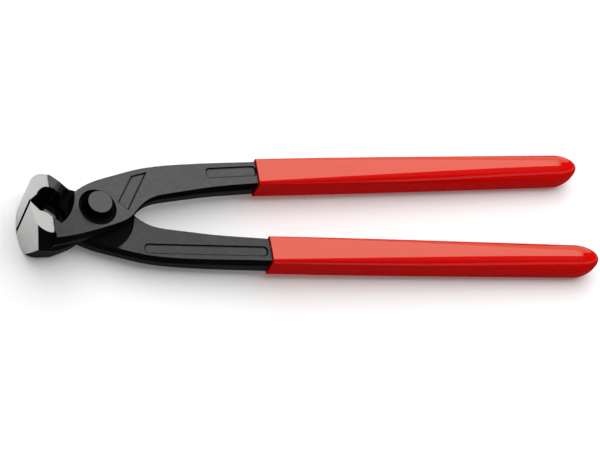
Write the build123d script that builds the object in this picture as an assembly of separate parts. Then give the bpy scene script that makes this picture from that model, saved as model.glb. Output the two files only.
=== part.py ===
from build123d import *
import math
import os

# Rebar tying pliers, lying flat with the jaws closed. Millimetres.
# The rivet's axis is +Z, the handles reach towards +X, and the origin is the middle of
# the rivet's lower face. The two levers are one shape used twice: the lower one is
# the upper one turned half a turn about the pliers' long axis, with a leaner shoulder.
# The upper lever carries the lower jaw, and the lower lever the upper jaw.

# Jaws
JAW_REACH = 25.5         # rivet axis to the cutting edges
JAW_EDGE = 23.2          # length of the cutting edges
JAW_HALF_HEIGHT = 13.8   # middle line to a jaw's outer ridge
JAW_CORNER = 7.5         # radius of the ridge at the jaw's front corner
JAW_NOSE = 1.3           # how far that corner would reach past the ground end face
JAW_BACK_SLOPE = 20.0    # fall of the ridge towards the back, degrees
JAW_BACK_ROUND = 5.0     # rounding where that fall starts
JAW_LENGTH = 18.5        # cutting edges to the back of a jaw
JAW_DRAFT = 13.5         # slope of the jaw's outer sides, degrees
JAW_GAP = 0.4            # left between the closed cutting edges
GROUND_LENGTH = 8.2      # how far back the jaws' sides are ground bright
GROUND_STEP = 0.35       # height of the forged skin over the ground side, where it ends

# Shoulders, on the free sides. The lower jaw's is the fuller.
UPPER_LEVEL = 3.4        # from the end of a jaw's front corner to where its ridge starts to fall
UPPER_SLOPE = 40.0       # that fall at the jaw's outer face, degrees
UPPER_FLARE = 6.9        # how much wider the clearance is where it runs out
LOWER_LEVEL = 4.6
LOWER_SLOPE = 20.0
LOWER_FLARE = 0.9

# Throat, from the cutting edges back and from the middle line out. A jaw's neck side
# is thicker than its free side.
THROAT_NECK_SIDE = ((3.4, 3.5), (4.9, 3.4), (6.3, 3.7), (8.2, 5.4), (10.3, 7.7))
THROAT_FREE_SIDE = ((2.9, 2.9), (4.6, 5.6), (7.6, 7.1), (9.5, 6.4), (13.6, 5.2))

# Joint
LAP_GAP = 0.1            # between the lap faces
LAP_RADIUS = 14.8        # round clearance where an arm steps down to its lap face
SHOULDER_RADIUS = 12.6   # round clearance behind a jaw, at the lap face
SHOULDER_RISE = 9.8      # height at which that clearance has run out
SHAFT_RADIUS = 4.5       # rivet through both levers
SHAFT_CLEARANCE = 0.05   # radial, in the lever that turns
HEAD_RADIUS = 6.5        # rivet's seat in its recess
HEAD_GAP = 0.5           # from that seat to the recess's wall
HEAD_SLACK = 0.05        # from that seat to the recess's floor, in the lever that turns
RECESS_LEVEL = 5.75      # recess's floor, over the lap plane
BUTTON_RADIUS = 4.6      # raised middle of the rivet's head
BUTTON_LEVEL = 10.8      # its flat face, over the lap plane
BUTTON_ROUND = 0.45

# Levers. The two curves follow the widest line of a lever's flanks, from the neck to
# the front edge of the grip, as distances from the rivet along and across the pliers.
JOINT_LEVEL = 6.75       # a lever's outer face at the rivet, over the lap plane
FACE_RISE = ((0.67, 0.54), (0.31, 0.20))       # shares of the way to the cutting edges, and of the rise
FACE_FALL = ((0.45, 0.56),)                    # the same on the way to the grip, where the face falls
ARM_THICKNESS = 8.4      # at the grip, along the rivet's axis
ARM_WIDTH = 9.3          # at the grip, across the handle
ARM_SPREAD = 16.05       # middle line to the middle of an arm, at the grip
ARM_ENTRY = 2.0          # how far an arm reaches into its grip before it narrows
OUTER_CURVE = ((-8.2, 5.9), (-1.2, 10.3), (7.6, 13.5), (17.6, 16.5), (32.4, 18.6), (45.0, 19.5))
INNER_CURVE = ((-5.7, -10.7), (2.0, -8.0), (7.4, -6.0), (11.3, -4.0), (15.2, 0.0), (20.2, 4.0),
               (28.7, 6.3), (43.1, 8.8))
NECK_START = 8.2         # cutting edges to the front of the neck
NECK_FRONT = (-9.2, -13.9)     # that front's two ends, across the pliers
THROAT_WALL = (-11.2, -3.2)    # middle of the curved wall between the neck's front and the joint
NECK_DRAFT = 6.0         # slope of the forged flanks at the neck, degrees
ARM_DRAFT = 4.0          # the same at the grip
TANG_WIDTH = 7.4         # the lever inside its grip
TANG_THICKNESS = 7.0

# Bare sunk panels on the outer faces
PANEL_DEPTH = 0.5
PANEL_CORNER = 1.6
SHORT_PANEL = ((43.0, 14.9), (63.0, 16.5))     # ends of its middle line
SHORT_PANEL_WIDTH = 4.3
LONG_PANEL = ((16.8, 13.6), (62.0, 16.6))
LONG_PANEL_WIDTH = 4.1
BAND_PANEL = ((7.9, 2.4), (14.4, 13.3), (20.6, 15.1), (11.5, -0.8))   # corners

# Grips
GRIP_START = 63.2        # rivet axis to the front edge of a grip
HANDLE_REACH = 194.5     # rivet axis to the end of a grip
GRIP_SPREAD = 19.8       # middle line to the middle of a grip, at its end
GRIP_COVER = 6.0         # plastic past the end of the tang
GRIP_CAP = 9.5           # length of the rounded end
NOSE_RISE = 3.0          # how much higher its tip lies than its middle line
CAP_TURNS = (0, 20, 38, 54, 67, 78)        # degrees round that end, at which its sections lie
GRIP_WIDTHS = (11.0, 11.4, 11.6, 11.5)     # evenly spaced from the front edge to the cap
GRIP_THICKNESSES = (10.4, 11.5, 12.1, 12.2)
GRIP_CORNERS = (1.3, 2.6, 4.0, 4.9)

LAP = LAP_GAP / 2
SMALL = 0.2              # by which a cut or a block overshoots
HALF_EDGE = JAW_EDGE / 2
FAR = 60.0               # past the jaws and the joint on any side
LONG_WAY = 2 * HANDLE_REACH


def handle_middle(x):
    """Middle of the upper handle, across the pliers, at x from the rivet."""
    share = (x - GRIP_START) / (HANDLE_REACH - GRIP_START)
    return ARM_SPREAD + (GRIP_SPREAD - ARM_SPREAD) * share


def prism(outline, low, high):
    """An outline in plan, as a solid between two levels."""
    return extrude(Pos(0, 0, low) * outline, high - low)


def outer_face_line(sunk=0.0):
    """A lever's outer face in profile, from the cutting edges to the grip, or that face sunk by a little."""
    rise = HALF_EDGE - JOINT_LEVEL
    fall = JOINT_LEVEL - ARM_THICKNESS / 2
    back = GRIP_START + ARM_ENTRY
    points = [(-JAW_REACH, JOINT_LEVEL + rise)]
    points += [(-JAW_REACH * along, JOINT_LEVEL + rise * share) for along, share in FACE_RISE]
    points += [(0, JOINT_LEVEL)]
    points += [(GRIP_START * along, JOINT_LEVEL - fall * share) for along, share in FACE_FALL]
    points += [(back, JOINT_LEVEL - fall)]
    return Spline([(x, level - sunk) for x, level in points])


def above_outer_face(sunk=0.0):
    """All that lies above a lever's outer face, or above that face sunk by a little."""
    face = outer_face_line(sunk)
    start = face @ 0
    slope = face % 0
    front = (-FAR, start.Y - (FAR - JAW_REACH) * slope.Y / slope.X)
    border = Polyline(face @ 1, (LONG_WAY, (face @ 1).Y), (LONG_WAY, FAR), (-FAR, FAR), front, start)
    outline = Plane.XZ * make_face([face, border])
    return extrude(outline, FAR, both=True)


def below_arm():
    """All that lies below an arm's inner face, which falls from the lap plane to the grip."""
    back = GRIP_START + ARM_ENTRY
    fall = ARM_THICKNESS / 2
    outline = make_face(Polyline((-FAR, 0), (0, 0), (back, -fall), (back, -FAR), (-FAR, -FAR), close=True))
    return extrude(Plane.XZ * outline, FAR, both=True)


def flank_outline(rise):
    """A lever's neck and arm in plan, at a height over or under its widest line."""
    front = NECK_START - JAW_REACH
    back = GRIP_START + ARM_ENTRY
    throat_end, outer_end = NECK_FRONT

    def draft_at(x):
        share = (x - front) / (back - front)
        return abs(rise) * math.tan(math.radians(NECK_DRAFT + (ARM_DRAFT - NECK_DRAFT) * share))

    outer_points = (*OUTER_CURVE, (back, handle_middle(back) + ARM_WIDTH / 2))
    inner_points = ((front, outer_end), *INNER_CURVE, (back, handle_middle(back) - ARM_WIDTH / 2))
    outer = Spline([(x, y - draft_at(x)) for x, y in outer_points])
    inner = Spline([(x, y + draft_at(x)) for x, y in inner_points])
    wall_x, wall_y = THROAT_WALL
    wall = ThreePointArc((front, throat_end), (wall_x + draft_at(wall_x), wall_y), outer @ 0)
    return make_face([outer, Line(outer @ 1, inner @ 1), inner, Line(inner @ 0, wall @ 0), wall])


def neck_and_arm():
    """The lever behind its jaw, over its own lap face."""
    half_joint = JOINT_LEVEL / 2
    ridge = Plane((0, 0, half_joint), x_dir=(GRIP_START, 0, -half_joint), z_dir=(half_joint, 0, GRIP_START))
    rise = HALF_EDGE
    sections = [ridge.offset(level) * flank_outline(level) for level in (-rise, 0, rise)]
    blank = loft(sections, ruled=True)
    lap_recess = Cylinder(LAP_RADIUS, FAR, align=(Align.CENTER, Align.CENTER, Align.MAX))
    neck_recess = Box(FAR, 2 * FAR, FAR, align=(Align.MAX, Align.CENTER, Align.MAX))
    return blank - above_outer_face() - below_arm() - Pos(0, 0, LAP) * (lap_recess + neck_recess)


def tang():
    """The bar that fills the grip behind the arm."""
    front = GRIP_START + ARM_ENTRY / 2
    back = HANDLE_REACH - GRIP_COVER
    half = TANG_WIDTH / 2
    outline = make_face(Polyline(
        (front, handle_middle(front) - half),
        (back, handle_middle(back) - half),
        (back, handle_middle(back) + half),
        (front, handle_middle(front) + half),
        close=True,
    ))
    return prism(outline, -TANG_THICKNESS / 2, TANG_THICKNESS / 2)


def jaw_outline(level, slope_angle, inset):
    """A jaw in plan, before its end is ground round, with its sides drawn in by an inset."""
    slope = math.radians(slope_angle)
    nose = -JAW_REACH - JAW_NOSE
    level_end = nose + JAW_CORNER + level - inset * math.tan(slope / 2)
    back = JAW_LENGTH - JAW_REACH
    inside = JAW_GAP
    outside = inset - JAW_HALF_HEIGHT
    ridge = FilletPolyline(
        (nose, inside),
        (nose + inset, outside),
        (level_end, outside),
        (back, outside + (back - level_end) * math.tan(slope)),
        radius=[JAW_CORNER - inset / 2, JAW_BACK_ROUND - inset],
    )
    return make_face([ridge, Polyline(ridge @ 1, (back, inside), ridge @ 0)])


def jaw_half(level, outer_slope):
    """Half of a jaw, up from the lap plane, with drafted sides."""
    height = HALF_EDGE + SMALL
    inset = height * math.tan(math.radians(JAW_DRAFT))
    ridge = jaw_outline(level, JAW_BACK_SLOPE, 0)
    return loft([ridge, Pos(0, 0, height) * jaw_outline(level, outer_slope, inset)], ruled=True)


def jaw(level, outer_slope, flare):
    """The lower jaw, with its ground end face. Its neck side runs into the neck."""
    throat_end, throat_side = THROAT_NECK_SIDE[-1]
    behind_throat = Box(FAR, FAR, FAR, align=(Align.MIN, Align.MIN, Align.CENTER))
    neck_side = jaw_half(level, JAW_BACK_SLOPE) - Pos(throat_end - JAW_REACH, -throat_side) * behind_throat
    free_side = mirror(jaw_half(level, outer_slope), Plane.XY)
    block = (neck_side + free_side - shoulder_clearance(flare)) & Cylinder(JAW_REACH, FAR)
    return block - above_outer_face() - mirror(above_outer_face(), Plane.XY)


def shoulder_clearance(flare):
    """Room behind the jaw's free side for the other lever's joint to turn in."""
    outer = SHOULDER_RADIUS + flare
    profile = make_face([
        Line((0, LAP), (0, -FAR)),
        Line((0, -FAR), (outer, -FAR)),
        Line((outer, -FAR), (outer, -SHOULDER_RISE)),
        EllipticalCenterArc((outer, 0), flare, SHOULDER_RISE, 180),
        Line((SHOULDER_RADIUS, 0), (SHOULDER_RADIUS, LAP)),
        Line((SHOULDER_RADIUS, LAP), (0, LAP)),
    ])
    return revolve(Plane.XZ * profile, Axis.Z)


def throat():
    """The lower half of the opening between the jaws."""
    level = HALF_EDGE + 1
    sides = []
    for points, height in ((THROAT_NECK_SIDE, level), (THROAT_FREE_SIDE, -level)):
        wall = Spline([(x - JAW_REACH, -y) for x, y in points])
        border = Polyline(
            wall @ 1, ((wall @ 1).X, HALF_EDGE), (-FAR, HALF_EDGE), (-FAR, -JAW_GAP / 2),
            (-JAW_REACH, -JAW_GAP / 2), wall @ 0,
        )
        sides.append(Pos(0, 0, height) * make_face([wall, border]))
    return loft(sides, ruled=True)


def ground_sides():
    """What is ground off the two sides of a jaw, from the cutting edges back."""
    end = GROUND_LENGTH - JAW_REACH
    skin = outer_face_line().intersect(Axis((end, 0, 0), (0, 1, 0)))[0]
    outline = make_face(Polyline(
        (-JAW_REACH, HALF_EDGE), (end, skin.Y - GROUND_STEP), (end, FAR), (-JAW_REACH, FAR), close=True,
    ))
    upper = extrude(Plane.XZ * outline, FAR, both=True)
    return upper + mirror(upper, Plane.XY)


def panel(ends, width):
    """A long rounded panel in plan, between the two ends of its middle line."""
    (x0, y0), (x1, y1) = ends
    length = math.hypot(x1 - x0, y1 - y0)
    turn = math.degrees(math.atan2(y1 - y0, x1 - x0))
    return Pos((x0 + x1) / 2, (y0 + y1) / 2) * Rot(0, 0, turn) * RectangleRounded(length, width, PANEL_CORNER)


def panels():
    """The bare sunk panels: two on the lever's outer face, one on its inner face."""
    band = make_face(Polyline(*BAND_PANEL, close=True))
    upper = prism(panel(SHORT_PANEL, SHORT_PANEL_WIDTH), 0, FAR) + prism(band, 0, FAR)
    lower = prism(panel(LONG_PANEL, LONG_PANEL_WIDTH), -FAR, 0)
    return (upper & above_outer_face(PANEL_DEPTH)) + (lower & Pos(0, 0, PANEL_DEPTH) * below_arm())


def rivet_hole(clearance):
    """The bore through a lever and the recess that the rivet's head sits in."""
    bore = Cylinder(SHAFT_RADIUS + clearance, FAR)
    recess = Cylinder(HEAD_RADIUS + HEAD_GAP, FAR, align=(Align.CENTER, Align.CENTER, Align.MIN))
    return bore + Pos(0, 0, RECESS_LEVEL) * recess


def lever(clearance, level, outer_slope, flare):
    """The upper lever. The lower one is the same but for its shoulder, and is turned over."""
    forging = jaw(level, outer_slope, flare) + neck_and_arm()
    forging = forging - throat() - ground_sides() - panels() - rivet_hole(clearance)
    return forging + tang()


def rivet():
    """A shaft with the same raised head at both ends, drawn up on the lower lever."""
    hollow = HEAD_RADIUS - BUTTON_RADIUS
    halves = []
    for side, slack in ((1, HEAD_SLACK), (-1, 0)):
        seat = RECESS_LEVEL + slack
        profile = make_face([
            Line((0, 0), (SHAFT_RADIUS, 0)),
            Line((SHAFT_RADIUS, 0), (SHAFT_RADIUS, seat)),
            Line((SHAFT_RADIUS, seat), (HEAD_RADIUS, seat)),
            RadiusArc((HEAD_RADIUS, seat), (BUTTON_RADIUS, seat + hollow), hollow),
            Line((BUTTON_RADIUS, seat + hollow), (BUTTON_RADIUS, BUTTON_LEVEL)),
            Line((BUTTON_RADIUS, BUTTON_LEVEL), (0, BUTTON_LEVEL)),
            Line((0, BUTTON_LEVEL), (0, 0)),
        ])
        half = revolve(Plane.XZ * profile, Axis.Z)
        rim = half.edges().filter_by(GeomType.CIRCLE).sort_by(Axis.Z)[-1]
        half = fillet(rim, BUTTON_ROUND)
        halves.append(half if side > 0 else mirror(half, Plane.XY))
    return halves[0] + halves[1]


def grip_section(x, share, shrink=1.0, rise=0.0):
    """A rounded oblong across the upper handle, at a share of the way to the cap."""
    place = share * (len(GRIP_WIDTHS) - 1)
    first = min(int(place), len(GRIP_WIDTHS) - 2)
    width, thickness, corner = (
        (values[first] + (values[first + 1] - values[first]) * (place - first)) * shrink
        for values in (GRIP_WIDTHS, GRIP_THICKNESSES, GRIP_CORNERS)
    )
    across = Plane((x, handle_middle(x), rise), x_dir=(0, 1, 0), z_dir=(1, 0, 0))
    return across * RectangleRounded(width, thickness, corner)


def grip(nose_rise):
    """The upper grip's outside, before the lever is taken out of it."""
    cap_start = HANDLE_REACH - GRIP_CAP
    steps = len(GRIP_WIDTHS) - 1
    shares = [step / steps for step in range(steps + 1)]
    sleeve = loft([grip_section(GRIP_START + (cap_start - GRIP_START) * share, share) for share in shares])
    turns = [math.radians(turn) for turn in CAP_TURNS]
    cap = loft([
        grip_section(cap_start + GRIP_CAP * math.sin(turn), 1, math.cos(turn), nose_rise * (1 - math.cos(turn)))
        for turn in turns
    ])
    return sleeve + cap


def export(name, solid):
    """Write one piece, with the origin moved to the rivet's lower face."""
    piece = Pos(0, 0, BUTTON_LEVEL) * solid
    piece.label = name
    export_step(piece, f"parts/{name}.step")
    print(name, len(piece.solids()), "solid,", round(piece.volume, 1), "mm3")


half_turn = Rot(180, 0, 0)
upper_lever = lever(SHAFT_CLEARANCE, LOWER_LEVEL, LOWER_SLOPE, LOWER_FLARE)
lower_lever = half_turn * lever(0, UPPER_LEVEL, UPPER_SLOPE, UPPER_FLARE)
upper_grip = grip(NOSE_RISE) - upper_lever
lower_grip = half_turn * grip(-NOSE_RISE) - lower_lever

os.makedirs("parts", exist_ok=True)
export("lever_upper", upper_lever)
export("lever_lower", lower_lever)
export("rivet", rivet())
export("grip_upper", upper_grip)
export("grip_lower", lower_grip)
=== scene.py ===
import math

import bmesh
import bpy
from mathutils import Matrix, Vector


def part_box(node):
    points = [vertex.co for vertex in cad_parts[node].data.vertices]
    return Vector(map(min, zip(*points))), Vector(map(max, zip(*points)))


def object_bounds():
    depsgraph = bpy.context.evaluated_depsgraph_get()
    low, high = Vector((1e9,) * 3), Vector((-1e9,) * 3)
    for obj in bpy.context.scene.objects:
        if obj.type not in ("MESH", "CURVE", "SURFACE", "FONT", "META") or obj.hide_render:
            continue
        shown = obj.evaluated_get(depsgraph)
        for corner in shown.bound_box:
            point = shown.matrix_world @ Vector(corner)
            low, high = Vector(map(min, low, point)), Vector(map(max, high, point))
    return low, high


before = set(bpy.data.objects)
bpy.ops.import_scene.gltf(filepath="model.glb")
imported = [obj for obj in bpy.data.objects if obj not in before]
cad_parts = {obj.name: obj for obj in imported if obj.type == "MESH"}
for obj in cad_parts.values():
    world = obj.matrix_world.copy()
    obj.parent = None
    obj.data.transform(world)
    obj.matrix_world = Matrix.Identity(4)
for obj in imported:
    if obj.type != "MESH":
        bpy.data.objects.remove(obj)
cad_low, cad_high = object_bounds()

# The camera looks down on the pliers from the front left, from nearly nine tenths of a
# metre away through a long lens, so that the handles hardly draw together.
CAMERA_PLACE = (-0.2300, -0.3928, 0.7353)
CAMERA_ANGLES = (29.854, -17.951, -10.112)      # degrees
SENSOR_WIDTH = 36                               # millimetres, like the lens
LENS = 144

camera = bpy.data.objects.new("camera", bpy.data.cameras.new("camera"))
bpy.context.scene.collection.objects.link(camera)
camera.data.sensor_width = SENSOR_WIDTH
camera.data.lens = LENS
camera.location = CAMERA_PLACE
camera.rotation_euler = [math.radians(angle) for angle in CAMERA_ANGLES]
bpy.context.scene.camera = camera
bpy.context.scene.view_settings.view_transform = "Standard"


# The pliers lie on a white table, on the sides of their jaws and the ends of their
# grips. The grips are the thinner, so the table is tilted a little against the joint.
class Signal:
    """An output of a material's nodes. Python's operators on it add Math nodes."""

    def __init__(self, tree, socket):
        self.tree = tree
        self.socket = socket

    def node(self, kind, settings, sockets, output=0):
        """Add a node with its settings, then its inputs, and give one of its outputs."""
        made = self.tree.nodes.new("ShaderNode" + kind)
        for name, value in settings.items():
            setattr(made, name, value)
        for name, value in sockets.items():
            if isinstance(value, Signal):
                self.tree.links.new(value.socket, made.inputs[name])
            else:
                made.inputs[name].default_value = value
        return Signal(self.tree, made.outputs[output]) if made.outputs else None

    def math(self, operation, *others):
        """A Math node whose first value is this signal."""
        return self.node("Math", {"operation": operation}, dict(enumerate((self, *others))))

    def __add__(self, other):
        return self.math("ADD", other)

    def __sub__(self, other):
        return self.math("SUBTRACT", other)

    def __rsub__(self, other):
        return self.node("Math", {"operation": "SUBTRACT"}, {0: other, 1: self})

    def __mul__(self, other):
        return self.math("MULTIPLY", other)

    def __abs__(self):
        return self.math("ABSOLUTE")

    def or_else(self, other):
        """The larger of the two, so that two masks become one."""
        return self.math("MAXIMUM", other)

    def along(self, axis):
        """One of the three parts of a place or of a normal."""
        return self.node("SeparateXYZ", {}, {0: self}, axis)

    def noise(self, scale, detail):
        """Soft random spots at this place, each about a metre divided by the scale across."""
        return self.node("TexNoise", {}, {"Vector": self, "Scale": scale, "Detail": detail})

    def rise(self, low, high):
        """0 below one value and 1 above another, and smooth between them."""
        settings = {"interpolation_type": "SMOOTHSTEP"}
        return self.node("MapRange", settings, {"Value": self, "From Min": low, "From Max": high})

    def between(self, low, high):
        """A share from 0 to 1 as a value between two others."""
        return self.node("MapRange", {}, {"Value": self, "To Min": low, "To Max": high})

    def blend(self, first, second):
        """One colour turning into another as this mask goes from 0 to 1."""
        mixer = self.tree.nodes.new("ShaderNodeMix")
        mixer.data_type = "RGBA"
        for name, value in {"Factor": self, "A": first, "B": second}.items():
            socket = next(each for each in mixer.inputs if each.name == name and each.enabled)
            if isinstance(value, Signal):
                self.tree.links.new(value.socket, socket)
            else:
                socket.default_value = value
        return Signal(self.tree, next(each for each in mixer.outputs if each.enabled))


def finish_of(owner):
    """Clear a material's or the world's nodes, and give an empty signal to build them from."""
    owner.use_nodes = True
    owner.node_tree.nodes.clear()
    return Signal(owner.node_tree, None)


def distance(across, beside):
    """How far a place lies from where both signals are 0."""
    return (across * across + beside * beside).math("SQRT")


def seen_rays(start):
    """1 for what the camera sees, straight or by reflection, and 0 for light on its way."""
    kinds = ("Camera", "Glossy", "Transmission")
    straight, glossy, clear = (start.node("LightPath", {}, {}, f"Is {kind} Ray") for kind in kinds)
    return straight.or_else(glossy).or_else(clear)


TABLE_HALF = 4.0            # half of the table's width, metres like all sizes here
PAPER = 0.6                 # shade as the pliers are lit by it
PAPER_SEEN = 0.97           # shade as the camera sees it
GLOW_NEAR = 0.07            # glow that keeps it white to look at, at the pliers
GLOW_FAR = 0.8              # and where the soft box no longer reaches
NEAR = 0.4

grip_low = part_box("grip_upper")[0]
rise = math.atan2(grip_low.z - cad_low.z, cad_high.x - cad_low.x)
sheet = bmesh.new()
tilt = Matrix.Translation(cad_low) @ Matrix.Rotation(-rise, 4, "Y")
bmesh.ops.create_grid(sheet, x_segments=1, y_segments=1, size=TABLE_HALF, matrix=tilt)
table = bpy.data.objects.new("table", bpy.data.meshes.new("table"))
sheet.to_mesh(table.data)
sheet.free()
bpy.context.scene.collection.objects.link(table)

white_paper = bpy.data.materials.new("white_paper")
start = finish_of(white_paper)
seen = seen_rays(start)
shade = seen.blend((PAPER, PAPER, PAPER, 1), (PAPER_SEEN, PAPER_SEEN, PAPER_SEEN, 1))
paper = start.node("BsdfDiffuse", {}, {"Color": shade})
place = start.node("TexCoord", {}, {}, "Object")
away = distance(place.along("X"), place.along("Y")).rise(NEAR, TABLE_HALF / 2)
glow = start.node("Emission", {}, {"Color": seen * away.between(GLOW_NEAR, GLOW_FAR)})
start.node("OutputMaterial", {}, {"Surface": start.node("AddShader", {}, {0: paper, 1: glow})})
table.data.materials.append(white_paper)

# The room is white to look at and dim as a light. One wide soft box hangs over the back
# of the table, where the camera sees it mirrored in the flat tops of the levers.
ROOM_LIGHT = 0.28
BOX_PLACE = (0.18, 0.42, 0.7)
BOX_SIZE = (1.0, 1.3)
BOX_RADIANCE = 2.2

room = bpy.data.worlds.new("room")
bpy.context.scene.world = room
start = finish_of(room)
backdrop = start.node("Background", {}, {"Color": seen_rays(start).between(ROOM_LIGHT, 1)})
start.node("OutputWorld", {}, {"Surface": backdrop})

lamp = bpy.data.lights.new("soft_box", "AREA")
lamp.shape = "RECTANGLE"
lamp.size, lamp.size_y = BOX_SIZE
lamp.energy = BOX_RADIANCE * math.pi * BOX_SIZE[0] * BOX_SIZE[1]
soft_box = bpy.data.objects.new("soft_box", lamp)
bpy.context.scene.collection.objects.link(soft_box)
soft_box.location = BOX_PLACE

# Two drop-forged steel levers, turned over against each other. They are blackened and
# oiled, so their flat tops shine grey, and the jaws' ends and sides are ground bright.
rivet_low, rivet_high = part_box("rivet")
LAP = (rivet_low.z + rivet_high.z) / 2      # height of the plane where the levers meet
JAW_REACH = -cad_low.x                      # rivet's axis to the cutting edges
HALF_EDGE = cad_high.z - LAP                # half of a cutting edge's length
GROUND_LENGTH = 0.0082                      # how far back the jaws' sides are ground
GROUND_FALL = 0.3086                        # slope of those sides
EDGE_LINE = 0.0008                          # half of the dark line along the closed edges
LEAF_MIDDLE = (-0.0194, 0.0099)             # middle of a ground side's round corner
LEAF_ROUND = 0.0020
HAIR = 0.00005                              # width over which one finish turns into another
RECESS_RADIUS = 0.0070                      # round the rivet
SOFT_EDGE = 0.0003                          # radius that the solids' sharp edges seem to have
DEEP_BLACK = (0.001, 0.001, 0.0012, 1)      # in the recess and on the rivet

black_steel = bpy.data.materials.new("black_steel")
start = finish_of(black_steel)
place = start.node("TexCoord", {}, {}, "Object")
normal = start.node("TexCoord", {}, {}, "Normal")
x, y, z = (place.along(axis) for axis in "XYZ")
ahead, upward = normal.along("X"), normal.along("Z")
level = abs(upward)
lift = abs(z - LAP)
radius = distance(x, y)

# A jaw's side is ground at a slope, and ends in a leaf with one round corner at the
# neck. Its end is ground round the rivet's axis, but left black along the closed edges, a
# dark line painted as the shade of the gap between them.
ground_back = GROUND_LENGTH - JAW_REACH
side_face = (lift + (x + JAW_REACH) * GROUND_FALL).rise(HALF_EDGE - 2 * HAIR, HALF_EDGE - HAIR)
side_face = side_face * (1 - x.rise(ground_back - HAIR, ground_back))
past_leaf = (x - LEAF_MIDDLE[0]).or_else(0.0)
beside_leaf = (abs(y) - LEAF_MIDDLE[1]).or_else(0.0)
neck_side = (y * (z - LAP)).math("LESS_THAN", 0.0)
leaf_corner = distance(past_leaf, beside_leaf).rise(LEAF_ROUND - HAIR, LEAF_ROUND)
side_face = side_face * (1 - neck_side * leaf_corner)
end_face = radius.rise(JAW_REACH - 2 * HAIR, JAW_REACH - HAIR) * (1 - x.rise(-JAW_REACH / 2, 0))
# painted shade: a dark line along the closed edges
end_face = end_face * abs(y).rise(EDGE_LINE - HAIR, EDGE_LINE)
ground = side_face.or_else(end_face)

# Ground steel has fine streaks across a jaw's end, and its sides are painted darker than
# the end, as shade. Black steel is mottled, and painted blacker in the recess, as shade.
STREAK_SCALES = (1800, 1800, 60)            # along, across and up the pliers
END_COLOURS = ((0.44, 0.435, 0.43, 1), (0.48, 0.475, 0.465, 1))
# painted shade: the ground sides are darker than the ends
SIDE_COLOUR = (0.32, 0.315, 0.31, 1)
MOTTLE = (160.0, 3.0)
BLACK_COLOURS = ((0.004, 0.004, 0.0045, 1), (0.007, 0.007, 0.008, 1))
MIDDLING = (0.3, 0.7)                       # nearly all values of a noise lie between these
streaks = start.node("Mapping", {}, {"Vector": place, "Scale": STREAK_SCALES}).noise(1.0, 2.0)
bright = streaks.rise(*MIDDLING).blend(*END_COLOURS)
bright = side_face.blend(bright, SIDE_COLOUR)
black = place.noise(*MOTTLE).blend(*BLACK_COLOURS)
# painted shade: blacker in the recess round the rivet
out_of_recess = radius.rise(RECESS_RADIUS, RECESS_RADIUS + 2 * HAIR)
black = out_of_recess.blend(DEEP_BLACK, black)

# Oil shines on the outer faces and not on the lap faces. A flank is left without it, as
# painted shade, but for a little where it faces down, as a painted reflection of the
# table. As painted shade, the shine is also taken out of the recess and weakened in the
# corners, where a face turns to the jaws, and on the lower half of the pliers to the handles.
FLANK_TO_FACE = (0.26, 0.5)
LAP_TO_FACE = (0.0004, 0.0006)
TO_THE_JAWS, JAWS_SHINE = (-0.08, 0.03), (0.7, 1.0)
TO_THE_HANDLES, LOWER_SIDE, HANDLES_SHINE = (0.05, 0.14), (-0.002, 0.001), (0.95, 0.65)
CORNER_REACH, OUT_OF_CORNER = 0.0008, (0.80, 0.97)
FACE_TO_FLANK, FACING_DOWN, UNDER_SHINE = (0.3, 0.6), (0.0, 0.06), 0.13
OIL_ROUGHNESS = 0.3
PATCHES = (420.0, 3.0)
GRAIN = (1500.0, 2.0)
own_piece = {"only_local": True, "samples": 8}
corners = start.node("AmbientOcclusion", own_piece, {"Distance": CORNER_REACH}, "AO")
# painted shade: no coat on the flanks
oil_with_painted_light = (1 - ground) * level.rise(*FLANK_TO_FACE) * lift.rise(*LAP_TO_FACE)
# painted shade: less coat where a face turns to the jaws, and on the lower half to the handles
oil_with_painted_light = oil_with_painted_light * ahead.rise(*TO_THE_JAWS).between(*JAWS_SHINE)
oil_with_painted_light = oil_with_painted_light * (ahead.rise(*TO_THE_HANDLES) * (1 - y.rise(*LOWER_SIDE))).between(*HANDLES_SHINE)
# painted shade: no coat in the recess, and less in the corners
oil_with_painted_light = oil_with_painted_light * out_of_recess * corners.rise(*OUT_OF_CORNER)
oil_with_painted_light = oil_with_painted_light * place.noise(*PATCHES).rise(*MIDDLING).between(0.9, 1.0)
# painted reflection of the table: a little coat on flanks that face down
underneath = (1 - ground) * (1 - level.rise(*FACE_TO_FLANK)) * (0 - upward).rise(*FACING_DOWN)
oil_with_painted_light = oil_with_painted_light.or_else(underneath * UNDER_SHINE)
shader = start.node("BsdfPrincipled", {}, {
    "Base Color": ground.blend(black, bright),
    "Metallic": ground,
    "Roughness": ground.between(0.6, 0.38),
    "Specular IOR Level": 0.0,
    "Coat Weight": oil_with_painted_light * place.noise(*GRAIN).rise(*MIDDLING).between(0.8, 1.0),
    "Coat Roughness": OIL_ROUGHNESS,
    "Normal": start.node("Bevel", {"samples": 6}, {"Radius": SOFT_EDGE}),
})
start.node("OutputMaterial", {}, {"Surface": shader})


def finish(names, material):
    """Give CAD pieces a material in place of their plain one."""
    for name in names:
        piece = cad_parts[name]
        piece.data.materials.clear()
        piece.data.materials.append(material)


finish(("lever_upper", "lever_lower"), black_steel)

# The rivet is a turned steel pin through both levers, blackened with them. Its flat
# button is bare to the light and shines; the hollow collar round it lies in the recess and
# is painted dark there, with a thin coat and a deep black colour, as shade.
BUTTON_LEVEL = rivet_high.z - LAP           # the button's flat face, over the lap plane
BUTTON_EDGE = (-0.0003, -0.0001)            # where its shine starts, from that face down
BUTTON_ROUND = (0.88, 0.98)                 # how level a face is at the button's rounded rim
# painted shade: the thin coat everywhere off the button's face
PAINTED_SHADE_COAT = 0.04

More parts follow.
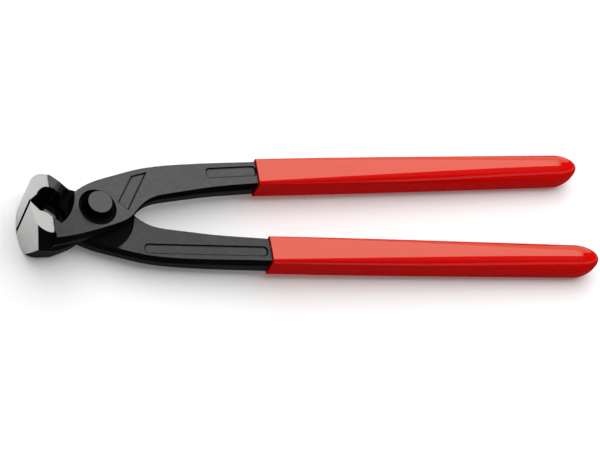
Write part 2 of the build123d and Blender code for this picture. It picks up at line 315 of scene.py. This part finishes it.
black_rivet = bpy.data.materials.new("black_rivet")
start = finish_of(black_rivet)
place = start.node("TexCoord", {}, {}, "Object")
level = abs(start.node("TexCoord", {}, {}, "Normal").along("Z"))
lift = abs(place.along("Z") - LAP)
on_top = lift.rise(BUTTON_LEVEL + BUTTON_EDGE[0], BUTTON_LEVEL + BUTTON_EDGE[1])
on_top = on_top * level.rise(*BUTTON_ROUND)
shader = start.node("BsdfPrincipled", {}, {
    "Base Color": DEEP_BLACK,
    "Roughness": 0.5,
    "Specular IOR Level": 0.0,
    "Coat Weight": on_top.between(PAINTED_SHADE_COAT, 1.0) * place.noise(*GRAIN).between(0.85, 1.0),
    "Coat Roughness": OIL_ROUGHNESS,
})
start.node("OutputMaterial", {}, {"Surface": shader})
finish(("rivet",), black_rivet)

# Two sleeves of smooth red plastic over the levers' tangs. Where their tops turn to the
# soft box they carry a painted highlight, a more orange colour and a strong coat; the
# sides are left dull with a thin coat, as painted shade.
LEAN = math.radians(16)                     # which way their shine faces, from straight up
# painted highlight: the tops are more orange where they turn to the soft box
TOP_HIGHLIGHT_COLOUR = (0.65, 0.038, 0.002, 1)
SIDE_COLOUR = (0.64, 0.002, 0.001, 1)
TOP_EDGE = (0.925, 0.930)                   # how far a face may lean away from there
TOP_NARROWS = 0.032                         # what that loses by the grip's end
TOP_SHINE, RIDGE_SHINE, SIDE_SHINE = 0.87, 0.7, 0.06
RIDGE_LOW, RIDGE_LOW_FADE = (0.30, 0.78), 0.06      # where the line of light along the edge
RIDGE_HIGH, RIDGE_HIGH_FADE = (0.60, 0.91), 0.05    # lies at the grip's front and at its end

red_plastic = bpy.data.materials.new("red_plastic")
start = finish_of(red_plastic)
normal = start.node("TexCoord", {}, {}, "Normal")
across, level = normal.along("Y"), abs(normal.along("Z"))
along = start.node("TexCoord", {}, {}, "Object").along("X")
along = along.rise(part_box("grip_upper")[0].x, cad_high.x)
turned_up = level * math.cos(LEAN) + across * math.sin(LEAN) - along * TOP_NARROWS
painted_highlight = turned_up.rise(*TOP_EDGE)
ridge_low, ridge_high = along.between(*RIDGE_LOW), along.between(*RIDGE_HIGH)
ridge = level.rise(ridge_low, ridge_low + RIDGE_LOW_FADE)
ridge = ridge * (1 - level.rise(ridge_high - RIDGE_HIGH_FADE, ridge_high))
shader = start.node("BsdfPrincipled", {}, {
    "Base Color": painted_highlight.blend(SIDE_COLOUR, TOP_HIGHLIGHT_COLOUR),
    "Roughness": 0.5,
    "Specular IOR Level": 0.0,
    "Coat Weight": (painted_highlight * TOP_SHINE).or_else(ridge * RIDGE_SHINE).or_else(SIDE_SHINE),
    "Coat Roughness": 0.15,
})
start.node("OutputMaterial", {}, {"Surface": shader})
finish(("grip_upper", "grip_lower"), red_plastic)
